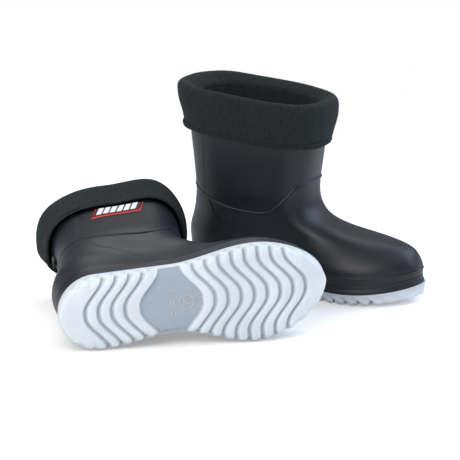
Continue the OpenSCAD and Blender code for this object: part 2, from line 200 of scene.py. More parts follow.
def turn(axis, degrees):
    """The matrix that turns about one axis."""
    c, s = np.cos(np.radians(degrees)), np.sin(np.radians(degrees))
    return np.array({
        "x": [[1, 0, 0], [0, c, -s], [0, s, c]],
        "y": [[c, 0, s], [0, 1, 0], [-s, 0, c]],
        "z": [[c, -s, 0], [s, c, 0], [0, 0, 1]],
    }[axis])


def slumped(p):
    """The lying boot's soft leg gives under its own weight above the ankle: by a smooth step its
    length shrinks by 0.16 of SLUMP, its lower half flattens by SLUMP, and its upper half squares
    up towards the shin. All of it moves forward, and its shin side drops more than its back."""
    give = ramp(p[:, 2], 70, 165)
    way = (p[:, 0] - SHAFT_MID) / HALF_CUFF
    x = p[:, 0] - HALF_CUFF * 0.16 * SLUMP * way * give + SLUMP_SHIFT * SLUMP * give
    corner = np.maximum(0, way) ** 2 * np.maximum(0, 1 - way ** 2)
    upper_half = 1 + give * SLUMP * (1.2 * corner - 0.14)
    y = p[:, 1] * np.where(p[:, 1] > 0, 1 - SLUMP * give, upper_half) - SLUMP_DROP * SLUMP * way * give
    return np.column_stack([x, y, p[:, 2]])


def place(points, side):
    """Puts a boot's points where that boot is, in metres. The left boot is the right one mirrored,
    standing and turned; the right one is laid on its inner side, rolled, pitched and turned."""
    p = np.asarray(points, float).reshape(-1, 3)
    if side == "right":
        p = slumped(p)
    if side == "left":
        p = (p * (1, -1, 1) - (HEEL_MID, 0, 0)) @ turn("z", -25).T
    else:
        m = turn("z", LIE["turn"]) @ turn("x", LIE["roll"]) @ turn("y", -LIE["pitch"]) @ turn("x", -90)
        p = (p - (HEEL_MID, 0, 0)) @ m.T + (-120, -269, LIE["rise"])
    return p / 1000


def piece(name, side, points, faces, material, numbers=None, uv=None, smooth=True):
    """A mesh piece of one boot: its points put in place, its faces turned over on the mirrored
    boot, with a number for each point and the map's two numbers for each point if given."""
    mesh = bpy.data.meshes.new(name)
    f = faces if isinstance(faces, list) else faces.tolist()
    if side == "left":
        f = [face[::-1] for face in f]
    mesh.from_pydata(place(points, side), [], f)
    for key, values in (numbers or {}).items():
        mesh.attributes.new(key, "FLOAT", "POINT").data.foreach_set("value", np.ravel(values).astype("f"))
    if uv is not None:
        corner = np.empty(len(mesh.loops), "i")
        mesh.loops.foreach_get("vertex_index", corner)
        at_corner = np.asarray(uv).reshape(-1, 2)[corner].ravel().astype("f")
        mesh.uv_layers.new(name="map").data.foreach_set("uv", at_corner)
    mesh.polygons.foreach_set("use_smooth", np.full(len(mesh.polygons), smooth))
    mesh.validate()
    mesh.update()
    made = bpy.data.objects.new(name, mesh)
    bpy.context.scene.collection.objects.link(made)
    made.data.materials.append(material)
    return made


def tube(path, normals, width, height, around=10):
    """A bead carried along a path: an oval of that half width and height, laid on the normals.
    Its ends close to points. Gives its points and faces."""
    p, n = np.asarray(path), np.asarray(normals)
    t = np.gradient(p, axis=0)
    t = t / np.linalg.norm(t, axis=1, keepdims=True)
    s = np.cross(t, n)
    s = s / np.linalg.norm(s, axis=1, keepdims=True)
    f = np.arange(around) / around * 2 * np.pi
    size = np.ones((len(p), 1, 1))
    size[[0, -1]] = 0.02
    across, up = width * np.cos(f)[None, :, None], height * np.sin(f)[None, :, None]
    ring = p[:, None] + size * (across * s[:, None] + up * n[:, None])
    faces = grid_faces(len(p), around).tolist()
    faces += [list(range(around)), list(range((len(p) - 1) * around, len(p) * around))[::-1]]
    return ring.reshape(-1, 3), faces


def to_linear(code):
    """An sRGB hex colour as linear red, green, blue and alpha."""
    v = np.array([int(code[i:i + 2], 16) for i in (1, 3, 5)]) / 255
    v = np.where(v <= 0.04045, v / 12.92, ((v + 0.055) / 1.055) ** 2.4)
    return (*[float(c) for c in v], 1.0)


def node(material, kind, links=None, **settings):
    """Adds a shader node to a material or a world. settings are its properties or its inputs' values, and
    links joins an input, by name or number, to another node's output."""
    tree = material.node_tree
    made = tree.nodes.new(kind)
    for key, value in settings.items():
        if key.startswith("in_"):
            name = key[3:].replace("_", " ")
            made.inputs[int(name) if name.isdigit() else name].default_value = value
        else:
            setattr(made, key, value)
    for key, (source, output) in (links or {}).items():
        tree.links.new(source.outputs[output], made.inputs[key])
    return made


def blank(name):
    """A material with only its output, and that output."""
    material = bpy.data.materials.new(name)
    material.use_nodes = True
    material.node_tree.nodes.clear()
    return material, material.node_tree.nodes.new("ShaderNodeOutputMaterial")


def blend_of(material, factor, low, high):
    """The Mix node between two colours, hex or linked, by a linked factor."""
    made = node(material, "ShaderNodeMix", {0: factor}, data_type="RGBA")
    for slot, value in ((6, low), (7, high)):
        if isinstance(value, str):
            made.inputs[slot].default_value = to_linear(value)
        else:
            material.node_tree.links.new(value[0].outputs[value[1]], made.inputs[slot])
    return made


def finish_with(material, out, **kinds):
    """Links a shader to the material's output."""
    for key, source in kinds.items():
        material.node_tree.links.new(source.outputs[0], out.inputs[key.capitalize()])


# Plasticised PVC, slush moulded: near black with a cool cast and a satin skin, faint cloudy
# patches in its gloss, a pebble too fine to see by itself, and a painted highlight on its sharp edges.
def moulded_pvc(name, hue, edge_highlight_hue, gloss):
    material, out = blank(name)
    where = node(material, "ShaderNodeTexCoord")
    cloud = node(material, "ShaderNodeTexNoise", {"Vector": (where, "Object")}, in_Scale=18.0, in_Detail=3.0)
    pebble = node(
        material, "ShaderNodeTexNoise", {"Vector": (where, "Object")}, in_Scale=1400.0, in_Detail=2.0,
    )
    # Painted highlight: sharp convex edges, found by pointiness, turn towards a lighter bluish colour in
    # cloudy patches.
    bend = node(material, "ShaderNodeNewGeometry")
    edge = node(material, "ShaderNodeMapRange", {"Value": (bend, "Pointiness")}, in_1=0.52, in_2=0.62)
    painted_edge_highlight = node(material, "ShaderNodeMath", {0: (edge, 0), 1: (cloud, 0)}, operation="MULTIPLY")
    colour = blend_of(material, (painted_edge_highlight, 0), hue, edge_highlight_hue)
    sheen = node(
        material, "ShaderNodeMapRange", {"Value": (cloud, 0)},
        in_1=0.3, in_2=0.7, in_3=gloss - 0.04, in_4=gloss + 0.05,
    )
    bump = node(material, "ShaderNodeBump", {"Height": (pebble, 0)}, in_Strength=0.12, in_Distance=0.0002)
    shader = node(
        material, "ShaderNodeBsdfPrincipled",
        {"Base Color": (colour, 2), "Roughness": (sheen, 0), "Normal": (bump, 0)},
        in_IOR=1.5,
    )
    finish_with(material, out, surface=shader)
    return material


# The third colour, #252d3b, is the painted highlight on sharp edges.
black_pvc = moulded_pvc("black moulded PVC", "#0c111b", "#252d3b", 0.45)

ROUND = 300
steps_up = np.concatenate([[0], np.cumsum(np.hypot(*np.diff(front_line, axis=0).T))])
upper_levels = np.interp(np.linspace(0, steps_up[-1], 230), steps_up, front_line[:, 1])
round_angle = np.arange(ROUND) / ROUND * 2 * np.pi
counter_edge = np.array([(20, 99), (36, 96), (40, 90), (44, 80), (53, 72), (65, 66), (76, 60), (100, 47)])


def moulded_relief(z, x, y):
    """How far the mould's details stand proud: a lip up to 16 mm, a groove at 22, a bead at 29,
    steps at the edges of the heel counter and the back stay, and a fine seam over the toe."""
    toe = ramp(x, 40, 120)
    lip = 1.3 * (1 - ramp(z, 15.2, 16.4))
    groove = -1.0 * np.exp(-((z - 21.8) / 0.8) ** 2) * mix(0.7, 1, toe)
    bead = 0.9 * np.exp(-((z - 28.6) / 1.0) ** 2) * toe
    counter = 0.6 * ramp(np.interp(x, counter_edge[:, 0], counter_edge[:, 1]) - z, -2.2, 2.2)
    counter = counter * (1 - ramp(x, 66, 98)) * ramp(z, 27, 34)
    stay = 0.4 * ramp(31.5 - x, -1.4, 1.4) * ramp(z, 97, 101)
    seam = 0.3 * np.exp(-(y / 0.9) ** 2) * ramp(x, 212, 220) * ramp(z, 48, 53)
    return lip + groove + bead + np.maximum(counter, stay) + seam


def eased(p, z):
    """Rubber has no hollows at the ankle: each point moves halfway to its four neighbours' mean,
    90 times over, where the foot turns into the leg."""
    soft = (ramp(z, 33, 48) * (1 - ramp(z, 125, 160)))[1:-1, :, None] * 0.5
    for _ in range(90):
        near = (np.roll(p, 1, 1) + np.roll(p, -1, 1))[1:-1] + p[2:] + p[:-2]
        p = p.copy()
        p[1:-1] += soft * (near / 4 - p[1:-1])
    return p


grid_a, grid_z = np.meshgrid(round_angle, upper_levels)
plain_skin = skin(grid_a, grid_z)
heel_swell = 5.5 * np.exp(-((grid_z - 57) / 19) ** 2) * (1 - ramp(plain_skin[..., 0], 25, 80))
smooth_skin = eased(plain_skin + outward(plain_skin) * heel_swell[..., None], grid_z)
skin_normals = outward(smooth_skin)


def upper_mesh():
    """The moulding's outside up 230 levels, over the rim, and down its inside to the floor."""
    relief = moulded_relief(grid_z, smooth_skin[..., 0], smooth_skin[..., 1])
    p = smooth_skin + skin_normals * relief[..., None]
    inner_z = np.linspace(SHAFT_H, OUTSOLE_H + WALL, 60)
    ia, iz = np.meshgrid(round_angle, inner_z)
    rows = np.vstack([p, skin(ia, iz, WALL)])
    faces = np.vstack([
        grid_faces(len(rows), ROUND), cap_faces(ROUND, 0, False),
        cap_faces(ROUND, (len(rows) - 1) * ROUND, True),
    ])
    return rows.reshape(-1, 3), faces


def on_skin(x, z, side):
    """The angle round the boot and the level of the place at x and at height z."""
    level = np.asarray(z, float)
    for _ in range(4):
        level = z - tilt(x, level) - spring(x, level)
    back = np.interp(level, back_line[:, 1], back_line[:, 0])
    front = np.interp(level, front_line[:, 1], front_line[:, 0])
    a = np.arccos(np.clip(1 - 2 * (x - back) / (front - back), -1, 1))
    return np.where(side > 0, a, 2 * np.pi - a), level


def skin_and_normal(a, z):
    """Points of the smoothed skin and their normals, mixed from the grid's four nearest points."""
    i = np.interp(z, upper_levels, np.arange(len(upper_levels)))
    j = np.mod(a, 2 * np.pi) / (2 * np.pi) * ROUND
    i0, j0 = np.minimum(i.astype(int), len(upper_levels) - 2), j.astype(int) % ROUND
    fi, fj = (i - i0)[..., None], (j - np.floor(j))[..., None]
    j1 = (j0 + 1) % ROUND
    return tuple(
        mix(mix(g[i0, j0], g[i0, j1], fj), mix(g[i0 + 1, j0], g[i0 + 1, j1], fj), fi)
        for g in (smooth_skin, skin_normals)
    )


def ankle_line():
    """The raised line: a closed path of angles and levels round the boot, smoothed, as a bead."""
    at = np.array([
        (17, 106), (36, 97), (61, 89), (85, 86), (98, 86), (110, 91), (122, 103), (132, 115),
    ], float)
    a, level = on_skin(at[:, 0], at[:, 1], 1.0)
    half = np.vstack([(0.0, level[0] + 2), np.column_stack([a, level]), (np.pi, level[-1] + 3)])
    other = half[::-1][1:] * (-1, 1) + (2 * np.pi, 0)
    line = smooth_line(np.vstack([half, other]), 24)
    p, n = skin_and_normal(line[:, 0], line[:, 1])
    return tube(p, n, 1.5, 1.1)


def joined(parts):
    """Several lists of points and faces as one."""
    points, faces, first = [], [], 0
    for p, f in parts:
        points.append(p)
        faces += [[i + first for i in face] for face in (f if isinstance(f, list) else f.tolist())]
        first += len(p)
    return np.vstack(points), faces


upper_parts = joined([upper_mesh(), ankle_line()])
for side in ("left", "right"):
    upper = piece(f"{side}_rubber_upper", side, *upper_parts, black_pvc)
    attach(upper, f"{side}_boot")
    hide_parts(f"{side}_upper")

# ---------------------------------------------------------------- Outsole
# A separate frosted, see-through PVC sole, injected in its own mould and cemented on. Rounded
# chevron lugs run across the ball and the heel, and their ends scallop and flute its edge. A
# smooth sunk panel at the waist carries a ring with a plain size number.
PITCH, GROOVE_D, WAIST_GAP, SWEEP = 12.7, 3.0, 4.0, 20.0
HEEL_FIRST, HEEL_LAST = 0.092 * SOLE_L, 0.092 * SOLE_L + 4.3 * PITCH
FORE_FIRST = 0.93 * SOLE_L - 8.25 * PITCH
STATIONS, ACROSS, UP_SIDE, OVER_TOP = 501, 115, 10, 7


def chevron(y):
    """How far a groove's middle leads its ends at y: half of one cosine wave across the ball."""
    return SWEEP * (1 - np.cos(np.pi * np.clip(np.abs(y) - 2, 0, 36) / 36)) / 2


def tread(x, y):
    """The tread's height above the floor, how deep in a groove a point is and how far into the
    waist, both from 0 to 1. Grooves are 12.7 mm apart with rounded edges, and the waist is sunk
    by 4 mm."""
    fore = (x + chevron(y) - FORE_FIRST) / PITCH
    heel = (x - chevron(y) - HEEL_FIRST - 1.2) / PITCH
    in_fore = ramp(x + chevron(y), FORE_FIRST - 0.4, FORE_FIRST + 2.6)
    in_heel = 1 - ramp(x - chevron(y), HEEL_LAST - 2.6, HEEL_LAST + 0.4)
    near_fore = np.abs(fore - np.clip(np.round(fore), 0, 8)) * PITCH
    near_heel = np.abs(heel - np.clip(np.round(heel), 0, 9)) * PITCH
    deep_fore = (1 - ramp(near_fore, 0.0, 3.2)) * (fore > 0.5)
    deep_heel = (1 - ramp(near_heel, 0.0, 3.2)) * (heel < 3.5)
    deep = np.where(in_fore > 0.5, deep_fore, np.where(in_heel > 0.5, deep_heel, 0))
    waist = 1 - np.maximum(in_fore, in_heel)
    crown = 0.5 * np.minimum(1, np.where(in_fore > 0.5, near_fore, near_heel) / (PITCH / 2))
    height = (0.5 - crown) * (1 - waist) + GROOVE_D * deep + WAIST_GAP * waist
    return height, deep, waist


def outsole_mesh():
    """Loops across the sole, from heel to toe: under the tread, up the inner edge, over the top
    and down the outer edge. The edge waves in and out with the lugs, slanting up to the back."""
    stations = np.linspace(0, np.pi, STATIONS)
    x = mix(0.0, SOLE_L, (1 - np.cos(stations)) / 2)[:, None]
    v = np.linspace(-1, 1, ACROSS)[None, :]
    v = np.sign(v) * (1 - (1 - np.abs(v)) ** 1.25)
    inner, outer = foot_side(x, 1.0, 0.0), foot_side(x, -1.0, 0.0)
    step = np.hypot(np.diff(x[:, 0]), np.diff((inner + outer)[:, 0] / 2))
    run = np.concatenate([[0], np.cumsum(step)])[:, None]
    over_run = run - x
    toe_more = np.maximum(0, over_run - over_run[(x[:, 0] > 0.9 * SOLE_L).argmax()])
    heel_more = np.minimum(0, over_run - over_run[(x[:, 0] > 0.12 * SOLE_L).argmax()])

    def edge(z, side, half):
        """The edge's half width at a height: less up to 2.2 mm under, with flutes 12.7 mm apart."""
        lead = chevron(side * half)
        fore = (x + lead + toe_more - FORE_FIRST) / PITCH
        heel = (x - lead + heel_more - HEEL_FIRST - 1.2) / PITCH
        in_fore = x + lead > (FORE_FIRST + HEEL_LAST) / 2
        at = np.where(in_fore, fore, heel) + 0.5 * z / PITCH
        plain = ramp(x - lead, HEEL_LAST - 4, HEEL_LAST)
        plain = plain * (1 - ramp(x + lead, FORE_FIRST, FORE_FIRST + 4))
        wave = 2.2 * (1 - ramp(z, 8.0, 10.5)) * (0.5 + 0.5 * np.cos(2 * np.pi * at)) ** 1.8 * (1 - plain)
        under = 2.2 * (1 - ramp(z, -2, 9))
        return np.maximum(0.0, half - (wave + under) * ramp(half, 0, 14))

    wide = np.where(v >= 0, edge(0.0, 1, inner), edge(0.0, -1, outer))
    y = v * wide
    height, deep, waist = tread(x, y)
    rim = 3.6 * (1 - arc((1 - np.abs(v)) * np.abs(wide) / 7.0))
    height = np.minimum(height + rim, 6.5)
    bottom = np.stack([np.broadcast_to(x, y.shape), y, height + spring(x, 0.0)], -1)
    up = np.linspace(0, 1, UP_SIDE + 1)[1:]
    sides = []
    for s, half in ((1, inner), (-1, outer)):
        low = bottom[:, -1 if s > 0 else 0, 2:3] - spring(x, 0.0)
        z = mix(low, OUTSOLE_H - 0.1, up[None, :])
        yy = s * edge(z, s, half)
        wall = np.stack([np.broadcast_to(x, yy.shape), yy, z + spring(x, 0.0)], -1)
        sides.append(wall)
    w = np.linspace(1, -1, OVER_TOP + 2)[None, 1:-1]
    yt = w * np.where(w >= 0, edge(OUTSOLE_H, 1, inner), edge(OUTSOLE_H, -1, outer))
    top_z = np.broadcast_to(OUTSOLE_H - 0.1 + spring(x, 0.0), yt.shape)
    top = np.stack([np.broadcast_to(x, yt.shape), yt, top_z], -1)
    loops = np.concatenate([bottom, sides[0], top, sides[1][:, ::-1]], 1)
    marks = np.zeros(loops.shape[:2] + (2,))
    # How deep in a groove a point is also serves as painted shade, greying the colour there.
    marks[:, :ACROSS, 0] = deep
    marks[:, :ACROSS, 1] = waist
    # The edge's walls get the same greyer colour, more towards the top, and the top face as much.
    marks[:, ACROSS:ACROSS + UP_SIDE, 0] = np.linspace(0.1, 0.6, UP_SIDE)
    marks[:, -UP_SIDE:, 0] = np.linspace(0.6, 0.1, UP_SIDE)
    marks[:, ACROSS + UP_SIDE:-UP_SIDE, 0] = 0.6
    return loops, marks


sole_loops, sole_marks = outsole_mesh()
columns = sole_loops.shape[1]
sole_faces = grid_faces(len(sole_loops), columns)[:, ::-1]


def ring_and_number():
    """A ring, two digits and three rows of plain dashes, as low beads on the sunk waist panel."""
    cx, r = 0.47 * SOLE_L, 7.0
    t = np.linspace(0, 2 * np.pi, 73)
    strokes = [np.column_stack([cx + r * np.cos(t), r * np.sin(t)])]
    bowl = np.radians(np.linspace(140, -90, 20))
    tail = np.radians(np.linspace(90, -140, 20))
    three = np.vstack([
        np.column_stack([2.2 * np.cos(bowl) - 3.6, 2.3 * np.sin(bowl) + 2.3]),
        np.column_stack([2.2 * np.cos(tail) - 3.6, 2.3 * np.sin(tail) - 2.3]),
    ])
    loop = np.radians(np.linspace(0, 360, 30))
    nine = np.vstack([
        np.column_stack([2.2 * np.cos(loop) + 3.6, 2.3 * np.sin(loop) + 2.1]),
        np.column_stack([5.8 - 1.9 * np.linspace(0, 1, 12) ** 2, 2.1 - 6.6 * np.linspace(0, 1, 12)]),
    ])
    for digit in (three, nine):
        strokes.append(np.column_stack([cx - 0.62 * digit[:, 1], -0.62 * digit[:, 0]]))
    for x0, count in ((-15.0, 7), (-11.5, 5), (14.0, 8)):
        for k in range(count):
            y0 = (k - (count - 1) / 2) * 4.6
            strokes.append(np.column_stack([np.full(6, cx + x0), np.linspace(y0 - 1.5, y0 + 1.5, 6)]))
    parts = []
    for s in strokes:
        path = np.column_stack([s, np.full(len(s), WAIST_GAP)])
        parts.append(tube(path, np.tile((0.0, 0.0, -1.0), (len(s), 1)), 0.65, 0.6, 6))
    return parts


number_points, number_faces = joined(ring_and_number())
sole_points, sole_all = joined([(sole_loops.reshape(-1, 3), sole_faces), (number_points, number_faces)])
painted_groove_shade = np.concatenate([sole_marks[..., 0].ravel(), np.full(len(number_points), 0.1)])
sunk = np.concatenate([sole_marks[..., 1].ravel(), np.full(len(number_points), 0.15)])


# Clear plasticised PVC with a milky filler, injected against a sand-blasted mould: light soaks
# in and comes back pale blue-grey, deeper on the sunk waist where the black boot shows through. The grooves
# are greyed with painted shade, and the edge grows greyer towards the top.
def frosted_pvc():
    material, out = blank("frosted clear PVC")
    where = node(material, "ShaderNodeTexCoord")
    # The deep attribute carries painted shade in the grooves, and a greyer edge towards the top.
    deep = node(material, "ShaderNodeAttribute", attribute_name="deep")
    panel = node(material, "ShaderNodeAttribute", attribute_name="sunk")
    cloud = node(material, "ShaderNodeTexNoise", {"Vector": (where, "Object")}, in_Scale=35.0, in_Detail=4.0)
    lug = blend_of(material, (cloud, 0), "#ccd3da", "#e9eef2")
    groove = blend_of(material, (deep, "Fac"), (lug, 2), "#aeb8c3")
    waist = blend_of(material, (panel, "Fac"), (groove, 2), "#a5b0bc")
    grain = node(material, "ShaderNodeTexNoise", {"Vector": (where, "Object")}, in_Scale=900.0, in_Detail=2.0)
    bump = node(material, "ShaderNodeBump", {"Height": (grain, 0)}, in_Strength=0.15, in_Distance=0.0003)
    rough = node(material, "ShaderNodeMapRange", {"Value": (cloud, 0)}, in_3=0.34, in_4=0.5)
    shader = node(
        material, "ShaderNodeBsdfPrincipled",
        {"Base Color": (waist, 2), "Roughness": (rough, 0), "Normal": (bump, 0)},
        in_IOR=1.53, in_Subsurface_Weight=0.5, in_Subsurface_Scale=0.006,
    )
    shader.inputs["Subsurface Radius"].default_value = (0.8, 0.9, 1.0)
    finish_with(material, out, surface=shader)
    return material


clear_pvc = frosted_pvc()
for side in ("left", "right"):
    # The deep attribute is the painted shade for the grooves and the edge.
    depths = {"deep": painted_groove_shade, "sunk": sunk}
    sole = piece(f"{side}_frosted_outsole", side, sole_points, sole_all, clear_pvc, depths)
    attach(sole, f"{side}_boot")
    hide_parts(f"{side}_outsole")

# ---------------------------------------------------------------- Pull tab
# A folded strip of woven polyester tape, bonded to the back of the shaft under the cuff.
TAPE_W, TAPE_H, TAPE_ROUND, TAPE_LEVELS = 12.0, 16.0, 48, 24


def tape_mesh():
    """A rounded slab 3 mm thick, its edges drawn in by a quarter circle, on the back line."""
    low = CUFF_LOW - 1 - TAPE_H
    x = np.interp(CUFF_LOW - TAPE_H / 2, back_line[:, 1], back_line[:, 0])
    f = np.linspace(0, 2 * np.pi, TAPE_ROUND, endpoint=False)
    y = TAPE_W / 2 * np.sign(np.cos(f)) * np.abs(np.cos(f)) ** 0.3
    thick = 1.5 * np.sign(np.sin(f)) * np.abs(np.sin(f)) ** 0.3
    z = np.linspace(0, TAPE_H, TAPE_LEVELS)
    close = np.clip(np.minimum(z, TAPE_H - z) / 1.2, 0.05, 1) ** 0.5
    rows = np.stack([
        x - 1.7 + thick[None] * close[:, None] + 0 * z[:, None],
        y[None] * mix(0.93, 1, close)[:, None], low + z[:, None] + 0 * f[None],
    ], -1)
    first = list(range(TAPE_ROUND))
    last = [i + (TAPE_LEVELS - 1) * TAPE_ROUND for i in first]
    faces = grid_faces(TAPE_LEVELS, TAPE_ROUND).tolist() + [first, last[::-1]]
    return rows.reshape(-1, 3), faces


# Woven polyester: dull, with threads about 0.5 mm apart crossing over and under.
def woven_tape(name, dark, light):
    material, out = blank(name)
    where = node(material, "ShaderNodeTexCoord")
    warp, weft = (
        node(
            material, "ShaderNodeTexWave", {"Vector": (where, "Object")},
            bands_direction=direction, in_Scale=300.0,
        )
        for direction in ("X", "Z")
    )
    cross = node(material, "ShaderNodeMath", {0: (warp, 1), 1: (weft, 1)}, operation="MULTIPLY")
    colour = blend_of(material, (cross, 0), dark, light)
    bump = node(material, "ShaderNodeBump", {"Height": (cross, 0)}, in_Strength=0.5, in_Distance=0.0003)
    shader = node(
        material, "ShaderNodeBsdfPrincipled", {"Base Color": (colour, 2), "Normal": (bump, 0)},
        in_Roughness=0.85, in_Sheen_Weight=0.2,
    )
    finish_with(material, out, surface=shader)
    return material


tape = woven_tape("woven polyester tape", "#1c1e20", "#35383b")
for side in ("left", "right"):
    tab = piece(f"{side}_tape_tab", side, *tape_mesh(), tape)
    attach(tab, f"{side}_boot")
    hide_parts(f"{side}_pull_tab")

# ---------------------------------------------------------------- Badge
# A soft moulded patch on the outer side of the shaft: a black base, a red edge round it and
# raised white slanted bars, each layer moulded in its own colour and welded on.
BADGE_X, BADGE_Z, BADGE_L, BADGE_H = 49.0, 139.6, 50.0, 18.0


def patch_mesh(x0, z0, length, height, low, high, lean, n=24, m=10, soft=0.5):
    """A slab that follows the outer side of the shaft, from low to high above it, leaning forward
    by lean over its height. Its top edge is rounded over a width of soft."""
    u, v = np.meshgrid(np.linspace(0, 1, n), np.linspace(0, 1, m))
    x = x0 + length * u + lean * v
    z = z0 + height * v
    a, level = on_skin(x, z + tilt(x, z), -1.0)
    p, normal = skin_and_normal(a, level)
    rim = np.minimum(np.minimum(u, 1 - u) * length, np.minimum(v, 1 - v) * height)
    up = mix(high - soft, high, arc(rim / soft))
    top, foot = p + normal * up[..., None], p + normal * low
    points = np.vstack([foot.reshape(-1, 3), top.reshape(-1, 3)])
    k = n * m
    low_faces = grid_faces(m, n, 0, False)
    top_faces = grid_faces(m, n, k, False)[:, ::-1]
    border = np.concatenate([
        np.arange(n - 1), np.arange(m - 1) * n + n - 1,
        (m - 1) * n + np.arange(n - 1, 0, -1), np.arange(m - 1, 0, -1) * n,
    ])
    after = np.roll(border, -1)
    walls = np.stack([border, border + k, after + k, after], -1)[:, ::-1]
    return points, np.vstack([low_faces, top_faces, walls])


# Soft PVC for patches: matt, with a faint grain and its colour a little uneven.
def patch_pvc(name, low, high, rough):
    material, out = blank(name)
    where = node(material, "ShaderNodeTexCoord")
    grain = node(material, "ShaderNodeTexNoise", {"Vector": (where, "Object")}, in_Scale=260.0, in_Detail=3.0)
    colour = blend_of(material, (grain, 0), low, high)
    bump = node(material, "ShaderNodeBump", {"Height": (grain, 0)}, in_Strength=0.15, in_Distance=0.0002)
    shader = node(
        material, "ShaderNodeBsdfPrincipled", {"Base Color": (colour, 2), "Normal": (bump, 0)},
        in_Roughness=rough,
    )
    finish_with(material, out, surface=shader)
    return material


patch_black = patch_pvc("black patch PVC", "#101114", "#1d1f23", 0.5)
patch_red = patch_pvc("red patch PVC", "#c8301f", "#e24432", 0.45)
patch_white = patch_pvc("white patch PVC", "#e4e4e4", "#f6f6f6", 0.45)
LEAN = BADGE_H / 3
bar_step = (BADGE_L - 6) / 6
bars = joined([
    patch_mesh(
        BADGE_X + 4 + i * bar_step, BADGE_Z + 2.5, 0.78 * bar_step, BADGE_H - 4,
        1.4, 3.0, LEAN * 0.78, 8, 10, 0.6,
    )
    for i in range(6)
])
red_edge = patch_mesh(BADGE_X - 1.5, BADGE_Z - 1.5, BADGE_L + 3, BADGE_H + 3, -0.3, 1.4, LEAN)
base_plate = patch_mesh(BADGE_X, BADGE_Z, BADGE_L, BADGE_H, 0.4, 2.0, LEAN)
for side in ("left", "right"):
    layers = (
        ("edge", red_edge, patch_red, "badge_red"), ("plate", base_plate, patch_black, "badge_black"),
        ("bars", bars, patch_white, "badge_white"),
    )
    for part, (points, faces), material, slot in layers:
        layer = piece(f"{side}_patch_{part}", side, points, faces, material)
        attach(layer, f"{side}_boot")
        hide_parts(f"{side}_badge_{part}")

# ---------------------------------------------------------------- Insole
# A die-cut sheet of felted foam, 4 mm thick, cemented to the boot's floor. Its edge is cut
# square and softens in wear.
FLOOR_Z, INSOLE_T, FLEECE_T, GAP = OUTSOLE_H + WALL, 4.0, 5.0, 0.5


def floor_pad(low, high, inset, across=26, stations=150):
    """A pad on the boot's floor: cross loops from heel to toe, its
    edge rounded by a quarter circle."""
    a = np.linspace(0.02, np.pi - 0.02, stations)[:, None]
    inner, outer = skin(a, low + 0 * a, inset), skin(2 * np.pi - a, low + 0 * a, inset)
    v = np.linspace(0, 1, across)[None, :, None]
    flat = mix(outer, inner, v)
    shape = arc(np.minimum(v, 1 - v) * 14)
    mid = (low + high) / 2 - low
    top, bottom = flat.copy(), flat.copy()
    top[..., 2:] += mid + (high - low - mid) * shape
    bottom[..., 2:] += mid - mid * shape
    loops = np.concatenate([bottom, top[:, ::-1]], 1)
    n = loops.shape[1]
    faces = grid_faces(stations, n)[:, ::-1].tolist()
    faces += [list(range(n)), list(range((stations - 1) * n, stations * n))[::-1]]
    return loops.reshape(-1, 3), faces


# Felted foam: a grey needled felt face, dull, with short fibres that lie every way.
def felt(name, dark, light):
    material, out = blank(name)
    where = node(material, "ShaderNodeTexCoord")
    fibre = node(
        material, "ShaderNodeTexNoise", {"Vector": (where, "Object")},
        in_Scale=420.0, in_Detail=6.0, in_Distortion=1.5,
    )
    patch = node(material, "ShaderNodeTexNoise", {"Vector": (where, "Object")}, in_Scale=30.0)
    both = node(material, "ShaderNodeMath", {0: (fibre, 0), 1: (patch, 0)}, operation="MULTIPLY")
    spread = node(material, "ShaderNodeMapRange", {"Value": (both, 0)}, in_1=0.12, in_2=0.4)
    colour = blend_of(material, (spread, 0), dark, light)
    bump = node(material, "ShaderNodeBump", {"Height": (fibre, 0)}, in_Strength=0.5, in_Distance=0.0006)
    shader = node(
        material, "ShaderNodeBsdfPrincipled", {"Base Color": (colour, 2), "Normal": (bump, 0)},
        in_Roughness=0.95, in_Sheen_Weight=0.3, in_Sheen_Roughness=0.6,
    )
    finish_with(material, out, surface=shader)
    return material


foam = felt("felted foam", "#2f3134", "#55585c")
for side in ("left", "right"):
    pad = piece(f"{side}_foam_insole", side, *floor_pad(FLOOR_Z + 0.1, FLOOR_Z + INSOLE_T, WALL + 1), foam)
    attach(pad, f"{side}_boot")
    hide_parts(f"{side}_insole")

# ---------------------------------------------------------------- Fleece liner
# A loose sock of knitted fleece about 5 mm thick, brushed to a short fuzz: a foot and a sole
# sewn together, a leg, and a top that folds over the rim and hangs down as a wide cuff.
LEG_IN = WALL + GAP + FLEECE_T
LINER_Z = FLOOR_Z + INSOLE_T + 0.1


